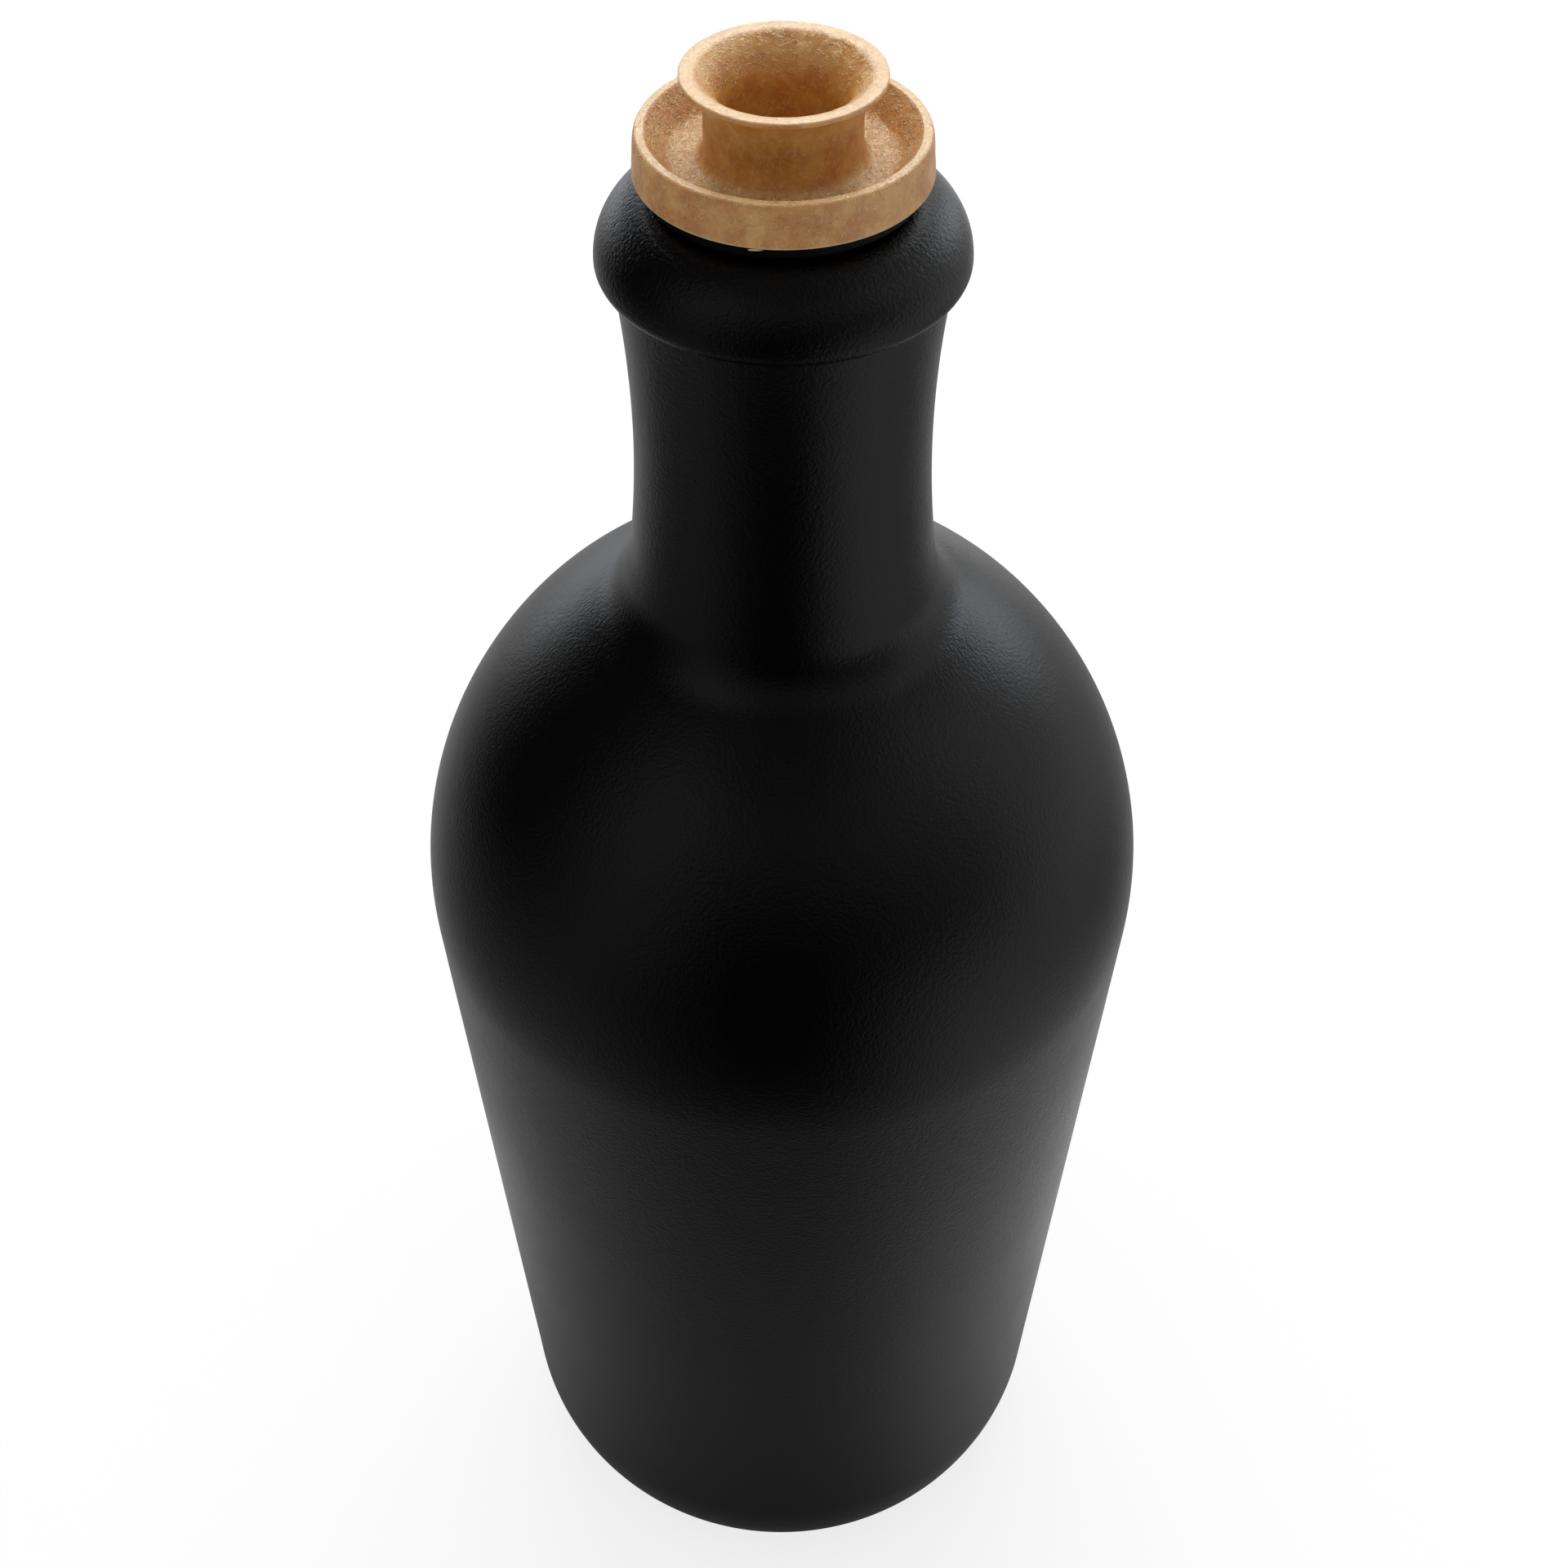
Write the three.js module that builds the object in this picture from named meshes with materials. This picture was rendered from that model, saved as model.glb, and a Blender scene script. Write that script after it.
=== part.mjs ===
// Stoneware oil bottle with a push-in pourer: a hollow glazed bottle, a black finned stopper
// in its neck, a moulded drip tray and a flared pouring spout with its stem.
// Millimetres, +Z up, origin at the centre of the foot. Every piece is turned about Z.
import * as THREE from 'three';

// Bottle: foot, heel and body
const FOOT_CORNER_RADIUS = 7;
const FOOT_RING_WIDTH = 5;
const FOOT_EDGE = 0.8;
const FOOT_RECESS = 1.8;
const HEEL_RADIUS = 26;
const HEEL_SWEEP = 38;
const BODY_RADIUS = 46.15;
const BODY_WIDEST_HEIGHT = 118.2;
const SIDE_TAPER = 4.46;
const SHOULDER_RADIUS = 49.95;

// Bottle: neck and mouth
const SHOULDER_FILLET = 9.2;
const NECK_CURVE_RADIUS = 146.7;
const WAIST_RISE = 67.8;
const LIP_RISE = 31.4;
const BORE_RADIUS = 9.5;
const NECK_WALL = 7.7;
const MOUTH_ROUND = 2.2;
const LIP_FLAT = 0.9;
const LIP_CROWN = 8.05;
const LIP_UNDERCUT = 1.75;

// Bottle: inside
const WALL = 4.5;
const FLOOR_THICKNESS = 5;
const INNER_HEEL_RADIUS = 15;
const INNER_NECK_FILLET = 14;

// Clearances
const SEAT_GAP = 0.3;
const FIN_CLEARANCE = 0.3;
const STEM_CLEARANCE = 0.2;

// Finned stopper
const FLANGE_THICKNESS = 1.7;
const FLANGE_INSET = 1.1;
const FLANGE_EDGE = 0.4;
const STOPPER_LENGTH = 25;
const STOPPER_WALL = 0.9;
const STOPPER_CHAMFER = 0.4;
const FIN_COUNT = 4;
const FIN_PITCH = 5;
const FIN_DEPTH = 1;
const FIN_ROOT = 1.7;
const FIN_TIP = 0.7;
const FIN_LIFT = 0.8;
const FIRST_FIN = 2;

// Drip tray
const TRAY_RADIUS = 16.15;
const TRAY_HEIGHT = 5;
const TRAY_DRAFT = 0.2;
const TRAY_FLOOR = 1.8;
const TRAY_RIM_WIDTH = 1.55;
const TRAY_RIM_ROUND = 0.6;
const TRAY_WALL_SLOPE = 52;
const TRAY_COVE = 1.5;
const TRAY_FOOT_ROUND = 0.3;

// Pouring spout
const STEM_WALL = 1.4;
const STEM_COLLAR_DEPTH = 0.6;
const STEM_COLLAR_HEIGHT = 1.4;
const STEM_TAIL = 3;
const SPOUT_LEDGE = 1.4;
const SPOUT_WALL = 2.2;
const SPOUT_FOOT_EDGE = 0.12;
const SPOUT_FOOT_COVE = 1.15;
const SPOUT_FOOT_RISE = 2;
const SPOUT_HEIGHT = 9.6;
const FLARE_HEIGHT = 4.5;
const FLARE_OVERHANG = 2.48;
const RIM_LAND = 1.5;
const RIM_SIDE = 0.6;
const RIM_ROUND = 0.25;
const FUNNEL_DEPTH = 5.4;

// Steps round each turned piece
const BOTTLE_SIDES = 56;
const POURER_SIDES = 40;

// Places that follow from the sizes above
const waistHeight = BODY_WIDEST_HEIGHT + WAIST_RISE;
const lipHeight = waistHeight + LIP_RISE;
const lipWidestHeight = lipHeight - LIP_CROWN;
const lipRadius = BORE_RADIUS + MOUTH_ROUND + LIP_FLAT + LIP_CROWN;
const waistRadius = BORE_RADIUS + NECK_WALL;

const finTipRadius = BORE_RADIUS - FIN_CLEARANCE;
const stopperRadius = finTipRadius - FIN_DEPTH;
const stopperBore = stopperRadius - STOPPER_WALL;
const stemRadius = stopperBore - STEM_CLEARANCE;

// Heights inside the pourer, from the underside of the stopper's flange
const trayBase = FLANGE_THICKNESS;
const trayFloor = trayBase + TRAY_FLOOR;
const trayTop = trayBase + TRAY_HEIGHT;
const rimHeight = trayFloor + SPOUT_HEIGHT;
const stopperEnd = -STOPPER_LENGTH;
const stemEnd = stopperEnd - STEM_TAIL;

const point = (radius, height) => new THREE.Vector2(radius, height);
const radians = THREE.MathUtils.degToRad;
const degrees = THREE.MathUtils.radToDeg;

// Elliptical arc of a section, turning the short way from one angle to the other.
// Angles are in degrees from straight outwards, and rise towards straight up.
function ellipseArc(centre, radiusOut, radiusUp, from, to, steps) {
  const curve = new THREE.EllipseCurve(
    centre.x, centre.y, radiusOut, radiusUp, radians(from), radians(to), to < from);
  return curve.getPoints(steps);
}

function arc(centre, radius, from, to, steps) {
  return ellipseArc(centre, radius, radius, from, to, steps);
}

// Direction from one section point to another, in degrees from 0 to 360.
function direction(from, to) {
  return THREE.MathUtils.euclideanModulo(degrees(Math.atan2(to.y - from.y, to.x - from.x)), 360);
}

// Crossing of two circles on the left of the way from the first centre to the second.
function leftCrossing(centreA, radiusA, centreB, radiusB) {
  const gap = centreA.distanceTo(centreB);
  const along = (radiusA ** 2 - radiusB ** 2 + gap ** 2) / (2 * gap);
  const aside = Math.sqrt(radiusA ** 2 - along ** 2);
  const forward = centreB.clone().sub(centreA).normalize();
  const left = point(-forward.y, forward.x);
  return centreA.clone().addScaledVector(forward, along).addScaledVector(left, aside);
}

// Closed solid turned about Z from a section that runs outside upwards and inside downwards.
function turned(section, sides) {
  const geometry = new THREE.LatheGeometry(section, sides);
  geometry.rotateX(Math.PI / 2);
  return geometry;
}

// Ring turned about Z from a section that does not touch the axis.
function turnedRing(section, sides) {
  return turned([...section, section[0].clone()], sides);
}

// The bottle is one hollow turned piece. The body's side leans in by SIDE_TAPER towards the
// heel, and the wall inside follows the same side and shoulder at WALL.
function bottleBody() {
  const sideNormal = point(Math.cos(radians(SIDE_TAPER)), -Math.sin(radians(SIDE_TAPER)));
  const shoulder = point(BODY_RADIUS - SHOULDER_RADIUS, BODY_WIDEST_HEIGHT);

  // Centre of a circle that touches the side from within, at a given height and depth.
  function centreBehindSide(height, depth) {
    const reach = sideNormal.dot(shoulder) + SHOULDER_RADIUS - depth;
    return point((reach - sideNormal.y * height) / sideNormal.x, height);
  }

  const sweep = radians(HEEL_SWEEP);
  const heelStep = HEEL_RADIUS - FOOT_CORNER_RADIUS;
  const heel = centreBehindSide(FOOT_CORNER_RADIUS + heelStep * Math.sin(sweep), HEEL_RADIUS);
  const footCorner = point(heel.x + heelStep * Math.cos(sweep), FOOT_CORNER_RADIUS);
  const footInner = footCorner.x - FOOT_RING_WIDTH;

  const neck = point(waistRadius + NECK_CURVE_RADIUS, waistHeight);
  const fillet = leftCrossing(
    shoulder, SHOULDER_RADIUS + SHOULDER_FILLET, neck, NECK_CURVE_RADIUS - SHOULDER_FILLET);
  const underLipHeight = lipWidestHeight - LIP_UNDERCUT;
  const underLipRise = (underLipHeight - waistHeight) / NECK_CURVE_RADIUS;
  const underLipAngle = 180 - degrees(Math.asin(underLipRise));
  const underLip = point(neck.x + NECK_CURVE_RADIUS * Math.cos(radians(underLipAngle)), lipWidestHeight);

  const floorTop = FOOT_RECESS + FLOOR_THICKNESS;
  const innerShoulderRadius = SHOULDER_RADIUS - WALL;
  const innerHeel = centreBehindSide(floorTop + INNER_HEEL_RADIUS, WALL + INNER_HEEL_RADIUS);
  const innerNeckReach = innerShoulderRadius + INNER_NECK_FILLET;
  const innerNeckRadius = BORE_RADIUS + INNER_NECK_FILLET;
  const innerNeckRise = Math.sqrt(innerNeckReach ** 2 - (innerNeckRadius - shoulder.x) ** 2);
  const innerNeck = point(innerNeckRadius, shoulder.y + innerNeckRise);
  const innerNeckAngle = direction(shoulder, innerNeck);

  return turned([
    point(0, FOOT_RECESS),
    point(footInner, FOOT_RECESS),
    ...arc(point(footInner + FOOT_EDGE, FOOT_EDGE), FOOT_EDGE, 180, 270, 3),
    ...arc(footCorner, FOOT_CORNER_RADIUS, -90, -HEEL_SWEEP, 4),
    ...arc(heel, HEEL_RADIUS, -HEEL_SWEEP, -SIDE_TAPER, 5).slice(1),
    ...arc(shoulder, SHOULDER_RADIUS, -SIDE_TAPER, direction(shoulder, fillet), 11),
    ...arc(fillet, SHOULDER_FILLET, direction(fillet, shoulder), direction(neck, fillet), 4).slice(1),
    ...arc(neck, NECK_CURVE_RADIUS, direction(neck, fillet), underLipAngle, 5).slice(1),
    ...ellipseArc(underLip, lipRadius - underLip.x, LIP_UNDERCUT, -90, 0, 4).slice(1),
    ...arc(point(lipRadius - LIP_CROWN, lipWidestHeight), LIP_CROWN, 0, 90, 7).slice(1),
    ...arc(point(BORE_RADIUS + MOUTH_ROUND, lipHeight - MOUTH_ROUND), MOUTH_ROUND, 90, 180, 3),
    ...arc(innerNeck, INNER_NECK_FILLET, 180, 180 + innerNeckAngle, 4),
    ...arc(shoulder, innerShoulderRadius, innerNeckAngle, -SIDE_TAPER, 7).slice(1),
    ...arc(innerHeel, INNER_HEEL_RADIUS, -SIDE_TAPER, -90, 4),
    point(0, floorTop),
  ], BOTTLE_SIDES);
}

// One fin of the stopper: thick at the tube, thin at the tip and lifted, so that it folds up
// as the stopper goes in.
function finSection(rootHeight) {
  const tipHeight = rootHeight + FIN_LIFT;
  return [
    point(stopperRadius, rootHeight),
    point(finTipRadius, tipHeight),
    point(finTipRadius, tipHeight + FIN_TIP),
    point(stopperRadius, rootHeight + FIN_ROOT),
  ];
}

// The stopper is a black finned tube under a round flange that lies between lip and tray.
function finnedStopper() {
  const flangeRadius = TRAY_RADIUS - FLANGE_INSET;
  const edge = flangeRadius - FLANGE_EDGE;
  const fins = [];
  for (let i = 0; i < FIN_COUNT; i += 1) {
    fins.push(...finSection(stopperEnd + FIRST_FIN + i * FIN_PITCH));
  }
  return turnedRing([
    point(stopperBore, stopperEnd),
    point(stopperRadius - STOPPER_CHAMFER, stopperEnd),
    point(stopperRadius, stopperEnd + STOPPER_CHAMFER),
    ...fins,
    point(stopperRadius, 0),
    ...arc(point(edge, FLANGE_EDGE), FLANGE_EDGE, -90, 0, 3),
    ...arc(point(edge, FLANGE_THICKNESS - FLANGE_EDGE), FLANGE_EDGE, 0, 90, 3),
    point(stopperBore, FLANGE_THICKNESS),
  ], POURER_SIDES);
}

// The drip tray is a shallow dish with a round-edged rim, a sloping wall coved into its floor,
// and a hole for the stem.
function dripTray() {
  const rimOuter = TRAY_RADIUS - TRAY_DRAFT;
  const roundHeight = trayTop - TRAY_RIM_ROUND;
  const rimInner = point(rimOuter - TRAY_RIM_WIDTH + TRAY_RIM_ROUND, roundHeight);
  const holeRadius = stemRadius + STEM_CLEARANCE;
  const wallAngle = 90 + TRAY_WALL_SLOPE;
  const wallNormal = point(Math.cos(radians(wallAngle)), Math.sin(radians(wallAngle)));
  const coveHeight = trayFloor + TRAY_COVE;
  const coveReach = wallNormal.dot(rimInner) + TRAY_RIM_ROUND + TRAY_COVE;
  const cove = point((coveReach - wallNormal.y * coveHeight) / wallNormal.x, coveHeight);
  const footRound = point(TRAY_RADIUS - TRAY_FOOT_ROUND, trayBase + TRAY_FOOT_ROUND);
  return turnedRing([
    point(holeRadius, trayBase),
    ...arc(footRound, TRAY_FOOT_ROUND, -90, 0, 3),
    ...arc(point(rimOuter - TRAY_RIM_ROUND, roundHeight), TRAY_RIM_ROUND, 0, 90, 4),
    ...arc(rimInner, TRAY_RIM_ROUND, 90, wallAngle, 4),
    ...arc(cove, TRAY_COVE, wallAngle - 180, -90, 5),
    point(holeRadius, trayFloor),
  ], POURER_SIDES);
}

// The spout is a trumpet-mouthed tube that stands on the tray floor by a coved foot. Its stem goes
// down through the tray and the stopper and ends in a collar that the stopper rests on.
function pourSpout() {
  const neckRadius = stemRadius + SPOUT_LEDGE;
  const footRadius = neckRadius + SPOUT_FOOT_COVE;
  const coveHeight = trayFloor + SPOUT_FOOT_EDGE + SPOUT_FOOT_RISE;
  const throatRadius = neckRadius - SPOUT_WALL;
  const stemBore = stemRadius - STEM_WALL;
  const collarRadius = stopperBore + STEM_COLLAR_DEPTH;
  const rimRadius = neckRadius + FLARE_OVERHANG;
  const flareBase = rimHeight - FLARE_HEIGHT;
  const flareRise = FLARE_HEIGHT - RIM_SIDE;
  const flareRadius = (FLARE_OVERHANG ** 2 + flareRise ** 2) / (2 * FLARE_OVERHANG);
  const flareEnd = 180 - degrees(Math.asin(Math.min(1, flareRise / flareRadius)));
  const funnelReach = rimRadius - RIM_LAND - throatRadius;
  const funnelRadius = (funnelReach ** 2 + FUNNEL_DEPTH ** 2) / (2 * funnelReach);
  const funnelStart = 180 - degrees(Math.asin(FUNNEL_DEPTH / funnelRadius));
  const funnel = point(throatRadius + funnelRadius, rimHeight - FUNNEL_DEPTH);
  return turnedRing([
    point(stemBore, stemEnd),
    point(stemRadius, stemEnd),
    point(collarRadius, stopperEnd - STEM_COLLAR_HEIGHT),
    point(collarRadius, stopperEnd),
    point(stemRadius, stopperEnd),
    point(stemRadius, trayFloor),
    point(footRadius, trayFloor),
    ...ellipseArc(point(footRadius, coveHeight), SPOUT_FOOT_COVE, SPOUT_FOOT_RISE, 270, 180, 5),
    ...arc(point(neckRadius + flareRadius, flareBase), flareRadius, 180, flareEnd, 6),
    ...arc(point(rimRadius - RIM_ROUND, rimHeight - RIM_ROUND), RIM_ROUND, 0, 90, 2),
    ...arc(funnel, funnelRadius, funnelStart, 180, 6),
  ], POURER_SIDES);
}

function material(name, color, roughness) {
  return new THREE.MeshStandardMaterial({ name, color, roughness, metalness: 0 });
}

function piece(name, geometry, finish) {
  const mesh = new THREE.Mesh(geometry, finish);
  mesh.name = name;
  return mesh;
}

const bottle = piece('bottle_body', bottleBody(), material('black_stoneware_glaze', 0x232423, 0.5));

const pourer = new THREE.Group();
pourer.add(piece('finned_stopper', finnedStopper(), material('black_rubber', 0x121212, 0.7)));
pourer.add(piece('drip_tray', dripTray(), material('tan_wood_fibre_tray', 0xbd9265, 0.6)));
pourer.add(piece('pour_spout', pourSpout(), material('tan_wood_fibre_spout', 0xc09468, 0.6)));
pourer.position.z = lipHeight + SEAT_GAP;

const oilBottle = new THREE.Group();
oilBottle.add(bottle, pourer);

export default oilBottle;
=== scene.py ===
"""Stoneware oil bottle with a push-in pourer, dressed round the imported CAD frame.

Every piece is turned about Z from the same sizes as the CAD source, with finer steps. Sizes are
in millimetres and become metres when a mesh is made.
"""
import math

import bmesh
import bpy
from mathutils import Matrix, Vector, noise


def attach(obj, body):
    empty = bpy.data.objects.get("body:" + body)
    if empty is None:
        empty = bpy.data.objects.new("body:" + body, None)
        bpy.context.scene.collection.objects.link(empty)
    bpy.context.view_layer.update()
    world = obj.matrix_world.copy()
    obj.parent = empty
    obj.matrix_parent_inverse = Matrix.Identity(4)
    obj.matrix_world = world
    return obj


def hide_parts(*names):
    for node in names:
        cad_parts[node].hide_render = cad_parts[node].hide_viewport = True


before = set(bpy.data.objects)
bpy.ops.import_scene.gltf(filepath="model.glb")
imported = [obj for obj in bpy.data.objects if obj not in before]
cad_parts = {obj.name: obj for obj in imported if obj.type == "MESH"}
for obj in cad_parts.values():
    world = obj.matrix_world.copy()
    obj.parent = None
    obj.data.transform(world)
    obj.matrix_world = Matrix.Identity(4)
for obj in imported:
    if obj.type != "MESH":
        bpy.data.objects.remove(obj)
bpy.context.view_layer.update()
bpy.context.scene.view_settings.view_transform = "Standard"

MM = 0.001
IMAGE_SIDE = 1920

# Camera, fitted to the outlines of the photograph
CAMERA_PLACE = (0.00024, -0.24538, 0.36254)
CAMERA_TILT = 46.5
CAMERA_ROLL = 0.16
FOCAL_PIXELS = 3200.3
SENSOR_WIDTH = 36.0

# Bottle: foot, heel and body
FOOT_CORNER_RADIUS = 7.0
FOOT_RING_WIDTH = 5.0
FOOT_EDGE = 0.8
FOOT_RECESS = 1.8
HEEL_RADIUS = 26.0
HEEL_SWEEP = 38.0
BODY_RADIUS = 46.15
BODY_WIDEST_HEIGHT = 118.2
SIDE_TAPER = 4.46
SHOULDER_RADIUS = 49.95

# Bottle: neck and mouth
SHOULDER_FILLET = 9.2
NECK_CURVE_RADIUS = 146.7
WAIST_RISE = 67.8
LIP_RISE = 31.4
BORE_RADIUS = 9.5
NECK_WALL = 7.7
MOUTH_ROUND = 2.2
LIP_FLAT = 0.9
LIP_CROWN = 8.05
LIP_UNDERCUT = 1.75

# Bottle: inside
WALL = 4.5
FLOOR_THICKNESS = 5.0
INNER_HEEL_RADIUS = 15.0
INNER_NECK_FILLET = 14.0

# Clearances
SEAT_GAP = 0.3
FIN_CLEARANCE = 0.3
STEM_CLEARANCE = 0.2

# Finned stopper
FLANGE_THICKNESS = 1.7
FLANGE_INSET = 1.1
FLANGE_EDGE = 0.4
STOPPER_LENGTH = 25.0
STOPPER_WALL = 0.9
STOPPER_CHAMFER = 0.4
FIN_COUNT = 4
FIN_PITCH = 5.0
FIN_DEPTH = 1.0
FIN_ROOT = 1.7
FIN_TIP = 0.7
FIN_LIFT = 0.8
FIRST_FIN = 2.0

# Drip tray
TRAY_RADIUS = 16.15
TRAY_HEIGHT = 5.0
TRAY_DRAFT = 0.2
TRAY_FLOOR = 1.8
TRAY_RIM_WIDTH = 1.55
TRAY_RIM_ROUND = 0.6
TRAY_WALL_SLOPE = 52.0
TRAY_COVE = 1.5
TRAY_FOOT_ROUND = 0.3

# Drip tray: edges soft outside and crisp inside, and a nib of flash under the front
TRAY_EDGE_REACH = 0.5
TRAY_EDGE_DROP = 1.4
TRAY_INNER_EDGE = 0.18
NIB_PLACE = (-2.8, -15.83, 219.38)
NIB_SIZE = (0.8, 0.2, 0.07)

# Pouring spout
STEM_WALL = 1.4
STEM_COLLAR_DEPTH = 0.6
STEM_COLLAR_HEIGHT = 1.4
STEM_TAIL = 3.0
SPOUT_LEDGE = 1.4
SPOUT_WALL = 2.2
SPOUT_FOOT_EDGE = 0.12
SPOUT_FOOT_COVE = 1.15
SPOUT_FOOT_RISE = 2.0
SPOUT_HEIGHT = 9.6
FLARE_HEIGHT = 4.5
FLARE_OVERHANG = 2.48
RIM_LAND = 1.5
RIM_INNER_ROUND = 1.9
RIM_SIDE = 0.6
RIM_ROUND = 0.25
FUNNEL_DEPTH = 5.4

# The edge of the spout's foot is drawn this much lower, so that it melts into the tray's floor
FOOT_SINK = 0.2

# Steps round each turned piece
BOTTLE_SIDES = 288
POURER_SIDES = 240
STOPPER_SIDES = 160
NIB_SIDES = 24

# The skin of a piece becomes uneven over this much height
UNEVEN_RAMP = 0.5

# The glaze's grain grows between these depths under the top of the lip
LIP_GRAIN_START = 16.0
LIP_GRAIN_FULL = 9.0

# Pale bands of the moulded pieces. The rim's band lies between two depths under the rim: it is
# smoother from handling, and paler partly from handling and partly as a painted sheen of the back
# light. The painted highlight on the edge of the foot lies between two heights over the foot. The
# rim's band grows paler between two places behind the front of the tray: a painted shade where the
# spout keeps the back light off the front rim
RIM_HANDLING_AND_SHEEN = (0.3, 0.12)
FOOT_EDGE_HIGHLIGHT = (0.18, 0.36)
FRONT_RIM_SHADE = (-15.5, -10.0)

# The second pattern of the moulded pieces is taken this far from the first, so that they differ
ASIDE_SHIFT = 31.0

# Edges that turn more than this stay crisp when the surface is smoothed
CREASE_ANGLE = 25.0

# Places that follow from the sizes above
waist_height = BODY_WIDEST_HEIGHT + WAIST_RISE
lip_height = waist_height + LIP_RISE
lip_widest_height = lip_height - LIP_CROWN
lip_radius = BORE_RADIUS + MOUTH_ROUND + LIP_FLAT + LIP_CROWN
waist_radius = BORE_RADIUS + NECK_WALL
fin_tip_radius = BORE_RADIUS - FIN_CLEARANCE
stopper_radius = fin_tip_radius - FIN_DEPTH
stopper_bore = stopper_radius - STOPPER_WALL
stem_radius = stopper_bore - STEM_CLEARANCE
pourer_base = lip_height + SEAT_GAP
tray_base = pourer_base + FLANGE_THICKNESS
tray_floor = tray_base + TRAY_FLOOR
tray_top = tray_base + TRAY_HEIGHT
rim_height = tray_floor + SPOUT_HEIGHT
stopper_end = pourer_base - STOPPER_LENGTH
stem_end = stopper_end - STEM_TAIL


# Colours and nodes

# Sockets of a Mix node, by number because its number and colour sockets share their names
MIX_SHARE = 0
FIRST_NUMBER = 2
SECOND_NUMBER = 3
FIRST_COLOUR = 6
SECOND_COLOUR = 7
MIXED_COLOUR = 2


def linear(code):
    """An sRGB hex colour as the linear RGBA that Blender's sockets take."""
    levels = [int(code[i:i + 2], 16) / 255 for i in (1, 3, 5)]
    return (*[v / 12.92 if v <= 0.04045 else ((v + 0.055) / 1.055) ** 2.4 for v in levels], 1.0)


def add(tree, kind, inputs=None, **settings):
    """Adds a node with its settings. An input is a plain value, or the socket that feeds it."""
    node = tree.nodes.new(kind)
    for name, value in settings.items():
        setattr(node, name, value)
    for key, value in (inputs or {}).items():
        if isinstance(value, bpy.types.NodeSocket):
            tree.links.new(value, node.inputs[key])
        else:
            node.inputs[key].default_value = value
    return node


def new_material(name):
    """An empty material with its node tree."""
    material = bpy.data.materials.new(name)
    material.use_nodes = True
    material.node_tree.nodes.clear()
    return material, material.node_tree


def millimetre_coordinates(tree, offset=(0.0, 0.0, 0.0)):
    """The piece's own coordinates in millimetres, so that pattern scales read as real sizes."""
    place = add(tree, "ShaderNodeTexCoord")
    return add(tree, "ShaderNodeMapping", {
        "Vector": place.outputs["Object"],
        "Location": offset,
        "Scale": (1 / MM, 1 / MM, 1 / MM),
    }).outputs["Vector"]


def satin_black_stoneware_glaze():
    """Stoneware dipped in a black satin glaze and fired. The glaze levels into a fine orange peel
    under half a millimetre across, which breaks soft highlights into grain. It runs thin on the
    rolled lip, where the grain is strongest."""
    material, tree = new_material("satin_black_stoneware_glaze")
    place = millimetre_coordinates(tree)
    height = add(tree, "ShaderNodeSeparateXYZ", {"Vector": place})
    thin = add(tree, "ShaderNodeMapRange", {
        "Value": height.outputs["Z"],
        "From Min": lip_height - LIP_GRAIN_START, "From Max": lip_height - LIP_GRAIN_FULL,
        "To Min": 0.68, "To Max": 1.0})
    peel = add(tree, "ShaderNodeTexNoise", {
        "Vector": place, "Scale": 2.3, "Detail": 3.0, "Roughness": 0.6})
    flow = add(tree, "ShaderNodeTexNoise", {
        "Vector": place, "Scale": 0.5, "Detail": 1.0, "Roughness": 0.5})
    kiln = add(tree, "ShaderNodeTexNoise", {
        "Vector": place, "Scale": 0.06, "Detail": 3.0, "Roughness": 0.6})
    gloss = add(tree, "ShaderNodeMapRange", {
        "Value": kiln.outputs["Fac"], "From Min": 0.3, "From Max": 0.7,
        "To Min": 0.2, "To Max": 0.25})
    flow_bump = add(tree, "ShaderNodeBump", {
        "Strength": 0.5, "Distance": 0.03 * MM, "Height": flow.outputs["Fac"]})
    peel_bump = add(tree, "ShaderNodeBump", {
        "Strength": thin.outputs["Result"], "Distance": 0.12 * MM, "Height": peel.outputs["Fac"],
        "Normal": flow_bump.outputs["Normal"]})
    tone = add(tree, "ShaderNodeMix", {
        MIX_SHARE: kiln.outputs["Fac"], FIRST_COLOUR: linear("#010101"),
        SECOND_COLOUR: linear("#030303")}, data_type="RGBA")
    shader = add(tree, "ShaderNodeBsdfPrincipled", {
        "Base Color": tone.outputs[MIXED_COLOUR], "Roughness": gloss.outputs["Result"],
        "Normal": peel_bump.outputs["Normal"], "IOR": 1.5, "Specular IOR Level": 0.24})
    add(tree, "ShaderNodeOutputMaterial", {"Surface": shader.outputs["BSDF"]})
    return material


def bare_fired_stoneware():
    """The foot ring, wiped clean of glaze before firing: a dry, dark, gritty clay."""
    material, tree = new_material("bare_fired_stoneware")
    place = millimetre_coordinates(tree)
    grit = add(tree, "ShaderNodeTexNoise", {
        "Vector": place, "Scale": 2.5, "Detail": 4.0, "Roughness": 0.7})
    tone = add(tree, "ShaderNodeMix", {
        MIX_SHARE: grit.outputs["Fac"], FIRST_COLOUR: linear("#3B342D"),
        SECOND_COLOUR: linear("#7A6D5E")}, data_type="RGBA")
    bump = add(tree, "ShaderNodeBump", {
        "Strength": 0.8, "Distance": 0.1 * MM, "Height": grit.outputs["Fac"]})
    shader = add(tree, "ShaderNodeBsdfPrincipled", {
        "Base Color": tone.outputs[MIXED_COLOUR], "Roughness": 0.9,
        "Normal": bump.outputs["Normal"]})
    add(tree, "ShaderNodeOutputMaterial", {"Surface": shader.outputs["BSDF"]})
    return material


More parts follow.
